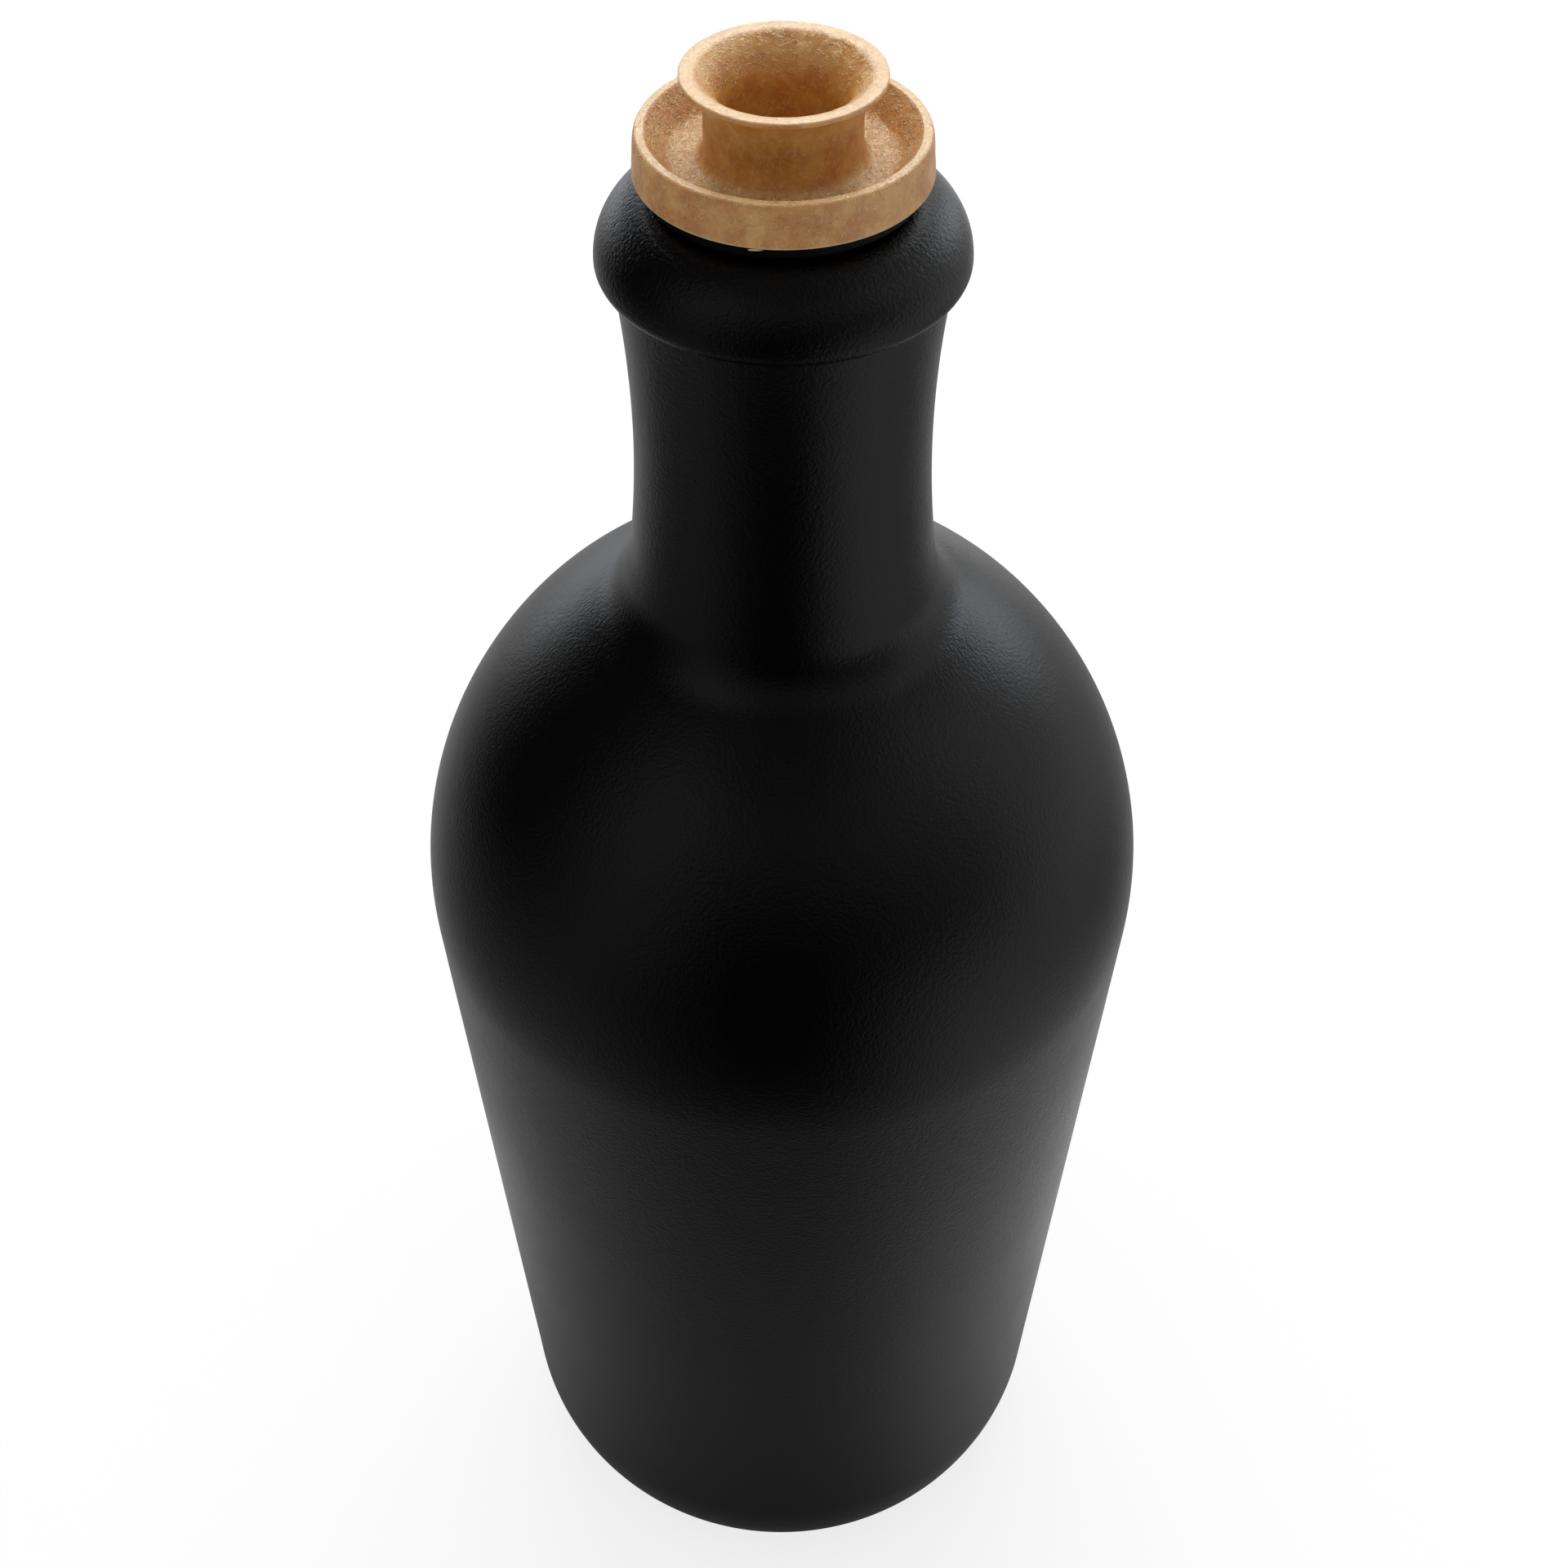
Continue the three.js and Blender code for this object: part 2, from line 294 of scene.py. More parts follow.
def moulded_black_rubber():
    """Nitrile rubber from a bead-blasted mould: matt, with a very fine even grain."""
    material, tree = new_material("moulded_black_rubber")
    place = millimetre_coordinates(tree)
    grain = add(tree, "ShaderNodeTexNoise", {
        "Vector": place, "Scale": 5.0, "Detail": 2.0, "Roughness": 0.5})
    wipe = add(tree, "ShaderNodeTexNoise", {
        "Vector": place, "Scale": 0.4, "Detail": 2.0, "Roughness": 0.5})
    tone = add(tree, "ShaderNodeMix", {
        MIX_SHARE: wipe.outputs["Fac"], FIRST_COLOUR: linear("#020202"),
        SECOND_COLOUR: linear("#060605")}, data_type="RGBA")
    matt = add(tree, "ShaderNodeMapRange", {
        "Value": wipe.outputs["Fac"], "To Min": 0.6, "To Max": 0.75})
    bump = add(tree, "ShaderNodeBump", {
        "Strength": 0.6, "Distance": 0.02 * MM, "Height": grain.outputs["Fac"]})
    shader = add(tree, "ShaderNodeBsdfPrincipled", {
        "Base Color": tone.outputs[MIXED_COLOUR], "Roughness": matt.outputs["Result"],
        "Normal": bump.outputs["Normal"], "IOR": 1.52, "Specular IOR Level": 0.18})
    add(tree, "ShaderNodeOutputMaterial", {"Surface": shader.outputs["BSDF"]})
    return material


def fibre_lines(tree, place, scale, width):
    """Thin curved lines, 1 along each line and 0 between: the places where a smooth noise
    crosses its middle. Scale is per millimetre, and a larger width gives thicker lines."""
    field = add(tree, "ShaderNodeTexNoise", {
        "Vector": place, "Scale": scale, "Detail": 1.0, "Roughness": 0.4})
    offset = add(tree, "ShaderNodeMath", {
        0: field.outputs["Fac"], 1: 0.5}, operation="SUBTRACT")
    distance = add(tree, "ShaderNodeMath", {0: offset.outputs[0]}, operation="ABSOLUTE")
    return add(tree, "ShaderNodeMapRange", {
        "Value": distance.outputs[0], "From Min": 0.0, "From Max": width,
        "To Min": 1.0, "To Max": 0.0}, interpolation_type="SMOOTHSTEP").outputs["Result"]


def chopped(tree, lines, place, scale, share):
    """Cuts endless lines into short lengths by a patchy mask. A larger share keeps fewer."""
    patches = add(tree, "ShaderNodeTexNoise", {
        "Vector": place, "Scale": scale, "Detail": 2.0, "Roughness": 0.5})
    mask = add(tree, "ShaderNodeMapRange", {
        "Value": patches.outputs["Fac"], "From Min": share, "From Max": share + 0.08,
        "To Min": 0.0, "To Max": 1.0}, interpolation_type="SMOOTHSTEP")
    return add(tree, "ShaderNodeMath", {
        0: lines, 1: mask.outputs["Result"]}, operation="MULTIPLY").outputs[0]


def moulded_wood_fibre(name, offset, foot, rim, loose, packed, relief):
    """Wood fibre and plastic moulded together: tan and slightly waxy, clouded where the fibre is
    dense, with short pale fibres that stand up a little, a few long dark ones and rare bark
    specks. The rim, at that height, is smoother from handling and paler, partly from handling and
    partly as a painted sheen of the back light, and less pale at the front of the wide tray, as a
    painted shade where the spout shades it. The edge of the foot has a painted highlight, and where
    the relief faces up its tops carry a painted sheen. The fibres are about a tenth of a
    millimetre thick, and are drawn at up to twice that so that they show."""
    material, tree = new_material(name)
    place = millimetre_coordinates(tree, offset)
    aside = millimetre_coordinates(tree, tuple(v + ASIDE_SHIFT for v in offset))
    height = add(tree, "ShaderNodeSeparateXYZ", {"Vector": millimetre_coordinates(tree)})
    # The rim band: smoother from handling, and paler partly from handling and partly as a painted
    # sheen
    rim_handling_and_sheen = add(tree, "ShaderNodeMapRange", {
        "Value": height.outputs["Z"],
        "From Min": rim - RIM_HANDLING_AND_SHEEN[0], "From Max": rim - RIM_HANDLING_AND_SHEEN[1]})
    # Painted shade: the rim band is less pale at the front of the tray, where the spout shades it
    rim_pale_share_by_front_shade = add(tree, "ShaderNodeMapRange", {
        "Value": height.outputs["Y"], "From Min": FRONT_RIM_SHADE[0], "From Max": FRONT_RIM_SHADE[1],
        "To Min": 0.1, "To Max": 0.36})
    # Painted highlight: a pale line along the edge of the foot
    painted_foot_edge_highlight = add(tree, "ShaderNodeMapRange", {
        "Value": height.outputs["Z"],
        "From Min": foot + FOOT_EDGE_HIGHLIGHT[0], "From Max": foot + FOOT_EDGE_HIGHLIGHT[1],
        "To Min": 1.0, "To Max": 0.0})

    def tint(share, amount, below, colour):
        strength = add(tree, "ShaderNodeMath", {0: share, 1: amount}, operation="MULTIPLY")
        return add(tree, "ShaderNodeMix", {
            MIX_SHARE: strength.outputs[0], FIRST_COLOUR: below, SECOND_COLOUR: colour},
            data_type="RGBA").outputs[MIXED_COLOUR]

    cloud = add(tree, "ShaderNodeTexNoise", {
        "Vector": place, "Scale": 0.35, "Detail": 4.0, "Roughness": 0.6})
    dense = add(tree, "ShaderNodeMapRange", {
        "Value": cloud.outputs["Fac"], "From Min": 0.35, "From Max": 0.65})
    mottle = add(tree, "ShaderNodeTexNoise", {
        "Vector": aside, "Scale": 1.3, "Detail": 3.0, "Roughness": 0.6})
    worn = add(tree, "ShaderNodeMapRange", {
        "Value": mottle.outputs["Fac"], "From Min": 0.45, "From Max": 0.65})
    cream = add(tree, "ShaderNodeMix", {
        MIX_SHARE: worn.outputs["Result"], FIRST_COLOUR: linear("#E8D9AE"),
        SECOND_COLOUR: linear("#DCC2A4")}, data_type="RGBA").outputs[MIXED_COLOUR]
    tan = add(tree, "ShaderNodeMix", {
        MIX_SHARE: dense.outputs["Result"], FIRST_COLOUR: linear(loose),
        SECOND_COLOUR: linear(packed)}, data_type="RGBA").outputs[MIXED_COLOUR]

    pale = chopped(tree, fibre_lines(tree, place, 1.1, 0.05), aside, 1.0, 0.5)
    fine = chopped(tree, fibre_lines(tree, aside, 1.9, 0.08), place, 1.4, 0.47)
    dark = chopped(tree, fibre_lines(tree, aside, 0.7, 0.022), place, 0.45, 0.55)

    # Bark specks: the middles of a few cells, each a fifth of a millimetre across
    cells = add(tree, "ShaderNodeTexVoronoi", {"Vector": place, "Scale": 0.6, "Randomness": 1.0})
    chosen = add(tree, "ShaderNodeSeparateColor", {"Color": cells.outputs["Color"]})
    rare = add(tree, "ShaderNodeMath", {
        0: chosen.outputs["Red"], 1: 0.8}, operation="GREATER_THAN")
    spot = add(tree, "ShaderNodeMapRange", {
        "Value": cells.outputs["Distance"], "From Min": 0.05, "From Max": 0.11,
        "To Min": 1.0, "To Max": 0.0})
    speck = add(tree, "ShaderNodeMath", {
        0: spot.outputs["Result"], 1: rare.outputs[0]}, operation="MULTIPLY")

    # Relief: the pale fibres stand proud of a dry, rough skin. It is smoother on the upright walls,
    # which slid out of the mould, and on the rims that hands touch, and where it faces up its tops
    # are painted pale, a painted sheen of the light from above and behind
    facing = add(tree, "ShaderNodeTexCoord")
    slope = add(tree, "ShaderNodeSeparateXYZ", {"Vector": facing.outputs["Normal"]})
    upward = add(tree, "ShaderNodeMapRange", {
        "Value": slope.outputs["Z"], "From Min": 0.4, "From Max": 0.95})
    open_skin = add(tree, "ShaderNodeMapRange", {
        "Value": slope.outputs["Z"], "From Min": 0.0, "From Max": 0.4,
        "To Min": 0.2, "To Max": 1.0})
    skin = add(tree, "ShaderNodeTexNoise", {
        "Vector": aside, "Scale": 1.35, "Detail": 3.0, "Roughness": 0.62})
    with_fine = add(tree, "ShaderNodeMath", {
        0: fine, 1: 0.35, 2: skin.outputs["Fac"]}, operation="MULTIPLY_ADD")
    raised = add(tree, "ShaderNodeMath", {
        0: pale, 1: 0.5, 2: with_fine.outputs[0]}, operation="MULTIPLY_ADD")
    tops = add(tree, "ShaderNodeMapRange", {
        "Value": raised.outputs[0], "From Min": 0.4, "From Max": 0.85})
    # Painted sheen: the relief's tops are paler where they face up, less so on the rim band
    upward_sheen_share = add(tree, "ShaderNodeMath", {
        0: rim_handling_and_sheen.outputs["Result"], 1: -0.4, 2: upward.outputs["Result"]},
        operation="MULTIPLY_ADD", use_clamp=True)
    painted_sheen_on_tops = add(tree, "ShaderNodeMath", {
        0: tops.outputs["Result"], 1: upward_sheen_share.outputs[0]}, operation="MULTIPLY")
    rough = add(tree, "ShaderNodeMath", {
        0: rim_handling_and_sheen.outputs["Result"], 1: -0.5, 2: open_skin.outputs["Result"]},
        operation="MULTIPLY_ADD", use_clamp=True)
    bump = add(tree, "ShaderNodeBump", {
        "Strength": rough.outputs[0], "Distance": relief * MM, "Height": raised.outputs[0]})

    colour = tint(worn.outputs["Result"], 0.2, tan, linear("#C4965E"))
    # Painted sheen on the tops that face up
    colour = tint(painted_sheen_on_tops.outputs[0], 0.85, colour, linear("#EAD198"))
    # The rim band's pale cream, partly from handling and partly a painted sheen, less at the front
    # as a painted shade
    colour = tint(rim_handling_and_sheen.outputs["Result"], rim_pale_share_by_front_shade.outputs["Result"], colour, cream)
    # Painted highlight on the edge of the foot
    colour = tint(painted_foot_edge_highlight.outputs["Result"], 0.5, colour, linear("#D8CBB8"))
    colour = tint(dark, 0.5, colour, linear("#83532A"))
    colour = tint(fine, 0.2, colour, linear("#E3BF8C"))
    colour = tint(pale, 0.25, colour, linear("#EBCDA0"))
    colour = tint(speck.outputs[0], 0.65, colour, linear("#6B421C"))

    matt = add(tree, "ShaderNodeMapRange", {
        "Value": mottle.outputs["Fac"], "From Min": 0.3, "From Max": 0.7,
        "To Min": 0.35, "To Max": 0.47})
    finish = add(tree, "ShaderNodeMath", {
        0: rim_handling_and_sheen.outputs["Result"], 1: -0.05, 2: matt.outputs["Result"]},
        operation="MULTIPLY_ADD")
    shader = add(tree, "ShaderNodeBsdfPrincipled", {
        "Base Color": colour, "Roughness": finish.outputs[0],
        "Normal": bump.outputs["Normal"], "IOR": 1.5, "Specular IOR Level": 0.95,
        "Subsurface Weight": 0.3,
        "Subsurface Radius": (1.0, 0.5, 0.2), "Subsurface Scale": 1.2 * MM})
    add(tree, "ShaderNodeOutputMaterial", {"Surface": shader.outputs["BSDF"]})
    return material


# Sections

# Points are (radius, height), and angles are in degrees, 0 outwards and 90 up

def ellipse_arc(centre, radius_out, radius_up, start, end, steps):
    """Elliptical arc of a section, from one angle to another."""
    angles = [math.radians(start + (end - start) * i / steps) for i in range(steps + 1)]
    return [(centre[0] + radius_out * math.cos(a), centre[1] + radius_up * math.sin(a))
            for a in angles]


def arc(centre, radius, start, end, steps):
    """Circular arc of a section."""
    return ellipse_arc(centre, radius, radius, start, end, steps)


def direction(start, end):
    """Direction from one section point to another, from 0 to 360 degrees."""
    return math.degrees(math.atan2(end[1] - start[1], end[0] - start[0])) % 360


def left_crossing(centre_a, radius_a, centre_b, radius_b):
    """Crossing of two circles on the left of the way from the first centre to the second."""
    a, b = Vector(centre_a), Vector(centre_b)
    gap = (b - a).length
    along = (radius_a ** 2 - radius_b ** 2 + gap ** 2) / (2 * gap)
    aside = math.sqrt(radius_a ** 2 - along ** 2)
    forward = (b - a) / gap
    return tuple(a + forward * along + Vector((-forward.y, forward.x)) * aside)


def line(start, end, steps):
    """Straight run of a section, cut into steps so that the mesh has points along it."""
    return [(start[0] + (end[0] - start[0]) * i / steps, start[1] + (end[1] - start[1]) * i / steps)
            for i in range(steps + 1)]


def bottle_section():
    """Outside upwards and inside downwards, from the axis under the foot to the axis inside."""
    side_normal = (math.cos(math.radians(SIDE_TAPER)), -math.sin(math.radians(SIDE_TAPER)))
    shoulder = (BODY_RADIUS - SHOULDER_RADIUS, BODY_WIDEST_HEIGHT)

    def centre_behind_side(height, depth):
        along = side_normal[0] * shoulder[0] + side_normal[1] * shoulder[1]
        reach = along + SHOULDER_RADIUS - depth
        return ((reach - side_normal[1] * height) / side_normal[0], height)

    sweep = math.radians(HEEL_SWEEP)
    heel_step = HEEL_RADIUS - FOOT_CORNER_RADIUS
    heel = centre_behind_side(FOOT_CORNER_RADIUS + heel_step * math.sin(sweep), HEEL_RADIUS)
    foot_corner = (heel[0] + heel_step * math.cos(sweep), FOOT_CORNER_RADIUS)
    foot_inner = foot_corner[0] - FOOT_RING_WIDTH
    neck = (waist_radius + NECK_CURVE_RADIUS, waist_height)
    fillet = left_crossing(
        shoulder, SHOULDER_RADIUS + SHOULDER_FILLET, neck, NECK_CURVE_RADIUS - SHOULDER_FILLET)
    neck_angle = direction(neck, fillet)
    under_lip_height = lip_widest_height - LIP_UNDERCUT
    under_lip_angle = 180 - math.degrees(
        math.asin((under_lip_height - waist_height) / NECK_CURVE_RADIUS))
    under_lip = (
        neck[0] + NECK_CURVE_RADIUS * math.cos(math.radians(under_lip_angle)), lip_widest_height)

    floor_top = FOOT_RECESS + FLOOR_THICKNESS
    inner_shoulder_radius = SHOULDER_RADIUS - WALL
    inner_heel = centre_behind_side(floor_top + INNER_HEEL_RADIUS, WALL + INNER_HEEL_RADIUS)
    inner_neck_reach = inner_shoulder_radius + INNER_NECK_FILLET
    inner_neck_radius = BORE_RADIUS + INNER_NECK_FILLET
    inner_neck_rise = math.sqrt(inner_neck_reach ** 2 - (inner_neck_radius - shoulder[0]) ** 2)
    inner_neck = (inner_neck_radius, shoulder[1] + inner_neck_rise)
    inner_neck_angle = direction(shoulder, inner_neck)

    foot = arc(foot_corner, FOOT_CORNER_RADIUS, -90, -HEEL_SWEEP, steps=10)
    heel_curve = arc(heel, HEEL_RADIUS, -HEEL_SWEEP, -SIDE_TAPER, steps=14)
    shoulder_curve = arc(
        shoulder, SHOULDER_RADIUS, -SIDE_TAPER, direction(shoulder, fillet), steps=44)
    mouth = (BORE_RADIUS + MOUTH_ROUND, lip_height - MOUTH_ROUND)
    return [
        *line((0, FOOT_RECESS), (foot_inner, FOOT_RECESS), steps=6),
        *arc((foot_inner + FOOT_EDGE, FOOT_EDGE), FOOT_EDGE, 180, 270, steps=6),
        *foot,
        *heel_curve[1:],
        *line(heel_curve[-1], shoulder_curve[0], steps=24)[1:],
        *shoulder_curve[1:],
        *arc(fillet, SHOULDER_FILLET, direction(fillet, shoulder), neck_angle, steps=16)[1:],
        *arc(neck, NECK_CURVE_RADIUS, neck_angle, under_lip_angle, steps=24)[1:],
        *ellipse_arc(under_lip, lip_radius - under_lip[0], LIP_UNDERCUT, -90, 0, steps=14)[1:],
        *arc((lip_radius - LIP_CROWN, lip_widest_height), LIP_CROWN, 0, 90, steps=24)[1:],
        *arc(mouth, MOUTH_ROUND, 90, 180, steps=10),
        *arc(inner_neck, INNER_NECK_FILLET, 180, 180 + inner_neck_angle, steps=14),
        *arc(shoulder, inner_shoulder_radius, inner_neck_angle, -SIDE_TAPER, steps=24)[1:],
        *arc(inner_heel, INNER_HEEL_RADIUS, -SIDE_TAPER, -90, steps=14),
        (0, floor_top),
    ]


def fin_section(root_height):
    """One fin of the stopper, thin at the tip and lifted."""
    tip_height = root_height + FIN_LIFT
    return [
        (stopper_radius, root_height),
        (fin_tip_radius, tip_height),
        (fin_tip_radius, tip_height + FIN_TIP),
        (stopper_radius, root_height + FIN_ROOT),
    ]


def stopper_section():
    """Finned tube under a round-edged flange."""
    edge = TRAY_RADIUS - FLANGE_INSET - FLANGE_EDGE
    fins = []
    for i in range(FIN_COUNT):
        fins += fin_section(stopper_end + FIRST_FIN + i * FIN_PITCH)
    return [
        (stopper_bore, stopper_end),
        (stopper_radius - STOPPER_CHAMFER, stopper_end),
        (stopper_radius, stopper_end + STOPPER_CHAMFER),
        *fins,
        (stopper_radius, pourer_base),
        *arc((edge, pourer_base + FLANGE_EDGE), FLANGE_EDGE, -90, 0, steps=6),
        *arc((edge, tray_base - FLANGE_EDGE), FLANGE_EDGE, 0, 90, steps=6),
        (stopper_bore, tray_base),
    ]


def tray_section():
    """Dish with a round-edged rim and a sloping wall coved into its floor."""
    rim_outer = TRAY_RADIUS - TRAY_DRAFT
    hole_radius = stem_radius + STEM_CLEARANCE
    wall_angle = 90 + TRAY_WALL_SLOPE
    wall_normal = (math.cos(math.radians(wall_angle)), math.sin(math.radians(wall_angle)))
    wall_reach = (wall_normal[0] * (rim_outer - TRAY_RIM_WIDTH + TRAY_RIM_ROUND)
                  + wall_normal[1] * (tray_top - TRAY_RIM_ROUND) + TRAY_RIM_ROUND)

    def centre_behind_wall(height, depth):
        return ((wall_reach - depth - wall_normal[1] * height) / wall_normal[0], height)

    cove = centre_behind_wall(tray_floor + TRAY_COVE, -TRAY_COVE)
    rim_inner = centre_behind_wall(tray_top - TRAY_INNER_EDGE, TRAY_INNER_EDGE)
    foot_round = (TRAY_RADIUS - TRAY_FOOT_ROUND, tray_base + TRAY_FOOT_ROUND)
    foot_curve = arc(foot_round, TRAY_FOOT_ROUND, -90, 0, steps=5)
    outer_round = ellipse_arc(
        (rim_outer - TRAY_EDGE_REACH, tray_top - TRAY_EDGE_DROP),
        TRAY_EDGE_REACH, TRAY_EDGE_DROP, 0, 90, steps=10)
    inner_round = arc(rim_inner, TRAY_INNER_EDGE, 90, wall_angle, steps=5)
    cove_curve = arc(cove, TRAY_COVE, wall_angle - 180, -90, steps=10)
    return [
        (hole_radius, tray_base),
        *foot_curve,
        *line(foot_curve[-1], outer_round[0], steps=10)[1:],
        *outer_round[1:],
        *line(outer_round[-1], inner_round[0], steps=3)[1:],
        *inner_round[1:],
        *line(inner_round[-1], cove_curve[0], steps=6)[1:],
        *cove_curve[1:],
        *line(cove_curve[-1], (hole_radius, tray_floor), steps=10)[1:],
    ]


def spout_section():
    """Trumpet-mouthed spout on a coved foot, and its stem down through tray and stopper."""
    neck_radius = stem_radius + SPOUT_LEDGE
    foot_radius = neck_radius + SPOUT_FOOT_COVE
    foot_height = tray_floor - FOOT_SINK
    cove_height = foot_height + SPOUT_FOOT_EDGE + SPOUT_FOOT_RISE
    throat_radius = neck_radius - SPOUT_WALL
    stem_bore = stem_radius - STEM_WALL
    collar_radius = stopper_bore + STEM_COLLAR_DEPTH
    rim_radius = neck_radius + FLARE_OVERHANG
    flare_base = rim_height - FLARE_HEIGHT
    flare_rise = FLARE_HEIGHT - RIM_SIDE
    flare_radius = (FLARE_OVERHANG ** 2 + flare_rise ** 2) / (2 * FLARE_OVERHANG)
    flare_end = 180 - math.degrees(math.asin(min(1.0, flare_rise / flare_radius)))
    foot_curve = ellipse_arc(
        (foot_radius, cove_height), SPOUT_FOOT_COVE, SPOUT_FOOT_RISE, 270, 180, steps=12)
    flare = (neck_radius + flare_radius, flare_base)
    flare_curve = arc(flare, flare_radius, 180, flare_end, steps=16)
    rim_curve = arc((rim_radius - RIM_ROUND, rim_height - RIM_ROUND), RIM_ROUND, 0, 90, steps=5)
    funnel_reach = rim_radius - RIM_LAND - throat_radius
    funnel_radius = (funnel_reach ** 2 + FUNNEL_DEPTH ** 2) / (2 * funnel_reach)
    funnel = (throat_radius + funnel_radius, rim_height - FUNNEL_DEPTH)
    round_behind = math.sqrt(
        (funnel_radius - RIM_INNER_ROUND) ** 2 - (FUNNEL_DEPTH - RIM_INNER_ROUND) ** 2)
    inner_round = (funnel[0] - round_behind, rim_height - RIM_INNER_ROUND)
    funnel_start = direction(funnel, inner_round)
    inner_curve = arc(inner_round, RIM_INNER_ROUND, 90, funnel_start, steps=8)
    return [
        (stem_bore, stem_end),
        (stem_radius, stem_end),
        (collar_radius, stopper_end - STEM_COLLAR_HEIGHT),
        (collar_radius, stopper_end),
        (stem_radius, stopper_end),
        (stem_radius, foot_height),
        (foot_radius, foot_height),
        *foot_curve,
        *line(foot_curve[-1], flare_curve[0], steps=6)[1:],
        *flare_curve[1:],
        *rim_curve,
        *line(rim_curve[-1], inner_curve[0], steps=3)[1:-1],
        *inner_curve,
        *arc(funnel, funnel_radius, funnel_start, 180, steps=16)[1:],
        *line((throat_radius, funnel[1]), (stem_bore, stem_end), steps=8)[1:-1],
    ]


# Meshes

def finish_mesh(name, bm, *materials):
    """Turns a bmesh into an object with outward normals, smooth faces and crisp corners."""
    bmesh.ops.recalc_face_normals(bm, faces=bm.faces)
    crease = math.radians(CREASE_ANGLE)
    for edge in bm.edges:
        edge.smooth = len(edge.link_faces) == 2 and edge.calc_face_angle() < crease
    for face in bm.faces:
        face.smooth = True
    mesh = bpy.data.meshes.new(name)
    bm.to_mesh(mesh)
    bm.free()
    for material in materials:
        mesh.materials.append(material)
    piece = bpy.data.objects.new(name, mesh)
    bpy.context.scene.collection.objects.link(piece)
    return piece


def turned(section, sides):
    """Closed solid turned about Z. A point on the axis becomes one vertex, and a section that
    doesn't touch the axis closes on itself."""
    bm = bmesh.new()
    rings = []
    for radius, height in section:
        if radius == 0:
            rings.append([bm.verts.new((0, 0, height * MM))] * sides)
            continue
        turns = [2 * math.pi * i / sides for i in range(sides)]
        rings.append([bm.verts.new((radius * MM * math.cos(t), radius * MM * math.sin(t),
                                    height * MM)) for t in turns])
    if section[0][0] != 0:
        rings.append(rings[0])
    for low, high in zip(rings, rings[1:]):
        for i in range(sides):
            j = (i + 1) % sides
            corners = [low[i], low[j], high[j], high[i]]
            face = [v for k, v in enumerate(corners) if v not in corners[:k]]
            if len(face) > 2:
                bm.faces.new(face)
    return bm


def add_nib(bm):
    """Adds the small closed nib of flash to the tray."""
    before = set(bm.verts)
    ball = turned([(0, -1), *arc((0, 0), 1, -75, 75, steps=10), (0, 1)], NIB_SIDES)
    mesh = bpy.data.meshes.new("nib")
    ball.to_mesh(mesh)
    ball.free()
    bm.from_mesh(mesh)
    bpy.data.meshes.remove(mesh)
    for vertex in set(bm.verts) - before:
        vertex.co = [v * size + place * MM
                     for v, size, place in zip(vertex.co, NIB_SIZE, NIB_PLACE)]
    return bm


def uneven(piece, low_height, depth, feature, offset):
    """Gives the skin above a height a slight natural unevenness, always inwards so that the
    piece keeps its size. Depth and feature size are in millimetres."""
    mesh = piece.data
    shift = Vector(offset)
    moves = []
    for vertex in mesh.vertices:
        ramp = min(1.0, max(0.0, (vertex.co.z / MM - low_height) / UNEVEN_RAMP))
        wave = noise.noise(vertex.co / (feature * MM) + shift)
        moves.append(vertex.co - vertex.normal * (ramp * depth * MM * (0.5 + 0.5 * wave)))
    for vertex, place in zip(mesh.vertices, moves):
        vertex.co = place
    mesh.update()


# Camera

camera_data = bpy.data.cameras.new("camera")
camera_data.sensor_width = SENSOR_WIDTH
camera_data.lens = SENSOR_WIDTH * FOCAL_PIXELS / IMAGE_SIDE
camera = bpy.data.objects.new("camera", camera_data)
camera.location = CAMERA_PLACE
camera.rotation_euler = (Matrix.Rotation(math.radians(CAMERA_TILT), 3, "X")
                         @ Matrix.Rotation(math.radians(CAMERA_ROLL), 3, "Z")).to_euler()
bpy.context.scene.collection.objects.link(camera)
bpy.context.scene.camera = camera

# Bottle

glaze = satin_black_stoneware_glaze()
clay = bare_fired_stoneware()
bottle = finish_mesh("glazed_bottle", turned(bottle_section(), BOTTLE_SIDES), glaze, clay)
GLAZE_LINE = 0.35
for polygon in bottle.data.polygons:
    if polygon.center.z < GLAZE_LINE * MM:
        polygon.material_index = 1
uneven(bottle, low_height=20.0, depth=0.04, feature=14.0, offset=(3.1, 7.7, 1.9))
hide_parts("bottle_body")
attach(bottle, "bottle")

# Pourer

stopper = finish_mesh(
    "rubber_stopper", turned(stopper_section(), STOPPER_SIDES), moulded_black_rubber())
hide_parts("finned_stopper")
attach(stopper, "pourer")

tray = finish_mesh(
    "moulded_drip_tray", add_nib(turned(tray_section(), POURER_SIDES)),
    moulded_wood_fibre(
        "moulded_wood_fibre_tray", offset=(5.0, 11.0, 3.0), foot=tray_base, rim=tray_top,
        loose="#B8762E", packed="#D2A058", relief=0.32))
uneven(tray, low_height=tray_base + 0.1, depth=0.07, feature=1.3, offset=(0.4, 5.2, 8.3))
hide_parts("drip_tray")
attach(tray, "pourer")

spout = finish_mesh(
    "moulded_spout", turned(spout_section(), POURER_SIDES),
    moulded_wood_fibre(
        "moulded_wood_fibre_spout", offset=(47.0, 2.0, 19.0), foot=stem_end, rim=rim_height,
        loose="#BA7424", packed="#D29A46", relief=0.15))
uneven(spout, low_height=tray_floor + 0.1, depth=0.08, feature=1.2, offset=(6.6, 2.5, 0.7))
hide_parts("pour_spout")
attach(spout, "pourer")

# Floor

